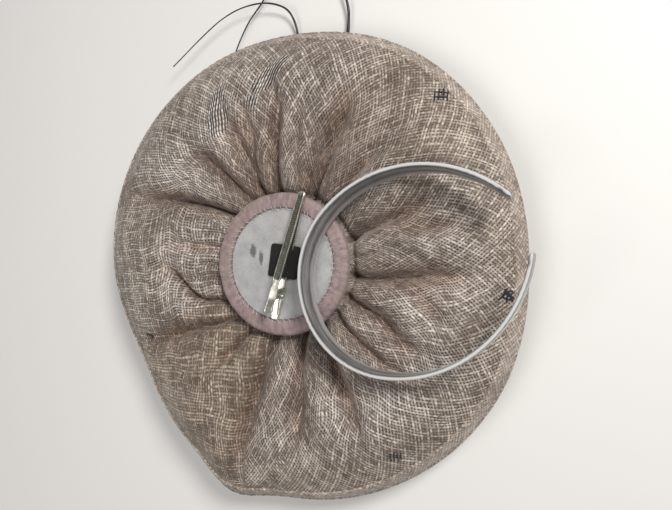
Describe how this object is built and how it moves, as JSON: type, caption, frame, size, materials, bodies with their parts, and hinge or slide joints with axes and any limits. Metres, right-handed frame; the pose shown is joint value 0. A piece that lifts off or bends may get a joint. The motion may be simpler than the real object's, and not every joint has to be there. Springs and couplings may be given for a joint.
{
  "type": "fascinator headpiece",
  "caption": "Round gathered sinamay fascinator, underside up, with a bound felt base, sprung beak clip, curled quills and a satin headband.",
  "frame": {"origin": "middle of the felt pad's face, where the base meets the wearer's head", "axes": "+Z out of the underside, towards the wearer's head; +Y towards the side where the quills stand out; +X towards the headband's open end"},
  "size_m": [0.2611, 0.3193, 0.0637],
  "materials": {
    "sinamay": "open plain weave, stiffened",
    "bias_sinamay": "open weave cut on the bias",
    "mauve_tape": "folded satin bias tape",
    "pale_felt": "felt",
    "black_felt": "felt",
    "buckram": "stiffened millinery canvas",
    "nickel": "warm nickel plate",
    "spring_steel": "bare spring steel",
    "silver_satin": "satin ribbon",
    "black_quill": "stripped feather spine",
    "black_thread": "twisted thread",
    "pale_thread": "twisted thread"
  },
  "bodies": {
    "fascinator": {"underside_sinamay": "sinamay", "crown_sinamay": "sinamay", "rim_binding": "bias_sinamay", "crown_knot": "sinamay", "base_board": "buckram", "base_binding": "mauve_tape", "felt_pad": "pale_felt", "felt_stitching": "pale_thread", "gathering_thread": "pale_thread", "clip_patch": "black_felt", "clip_lower_arm": "nickel", "clip_pin": "nickel", "clip_spring": "spring_steel", "quill_arc": "black_quill", "quill_loop": "black_quill", "quill_binding": "black_thread", "tack_1": "black_thread", "tack_2": "black_thread", "tack_3": "black_thread", "tack_4": "black_thread"},
    "clip_jaw": {"clip_upper_arm": "nickel"},
    "headband": {"headband_ribbon": "silver_satin", "headband_core": "spring_steel", "headband_end_1": "silver_satin", "headband_end_2": "silver_satin"}
  },
  "joints": [
    {"name": "clip_open", "type": "hinge", "parent": "fascinator", "child": "clip_jaw", "pos_m": [0, -0.0165, 0.0054], "axis": [0.9694, -0.2453, 0], "range_deg": [0, 28], "stiffness_Nm_per_rad": 0.12, "springref_deg": -17.19},
    {"name": "headband_lift", "type": "slide", "parent": "fascinator", "child": "headband", "axis": [0, 0, 1], "range_m": [0, 0.06]}
  ]
}
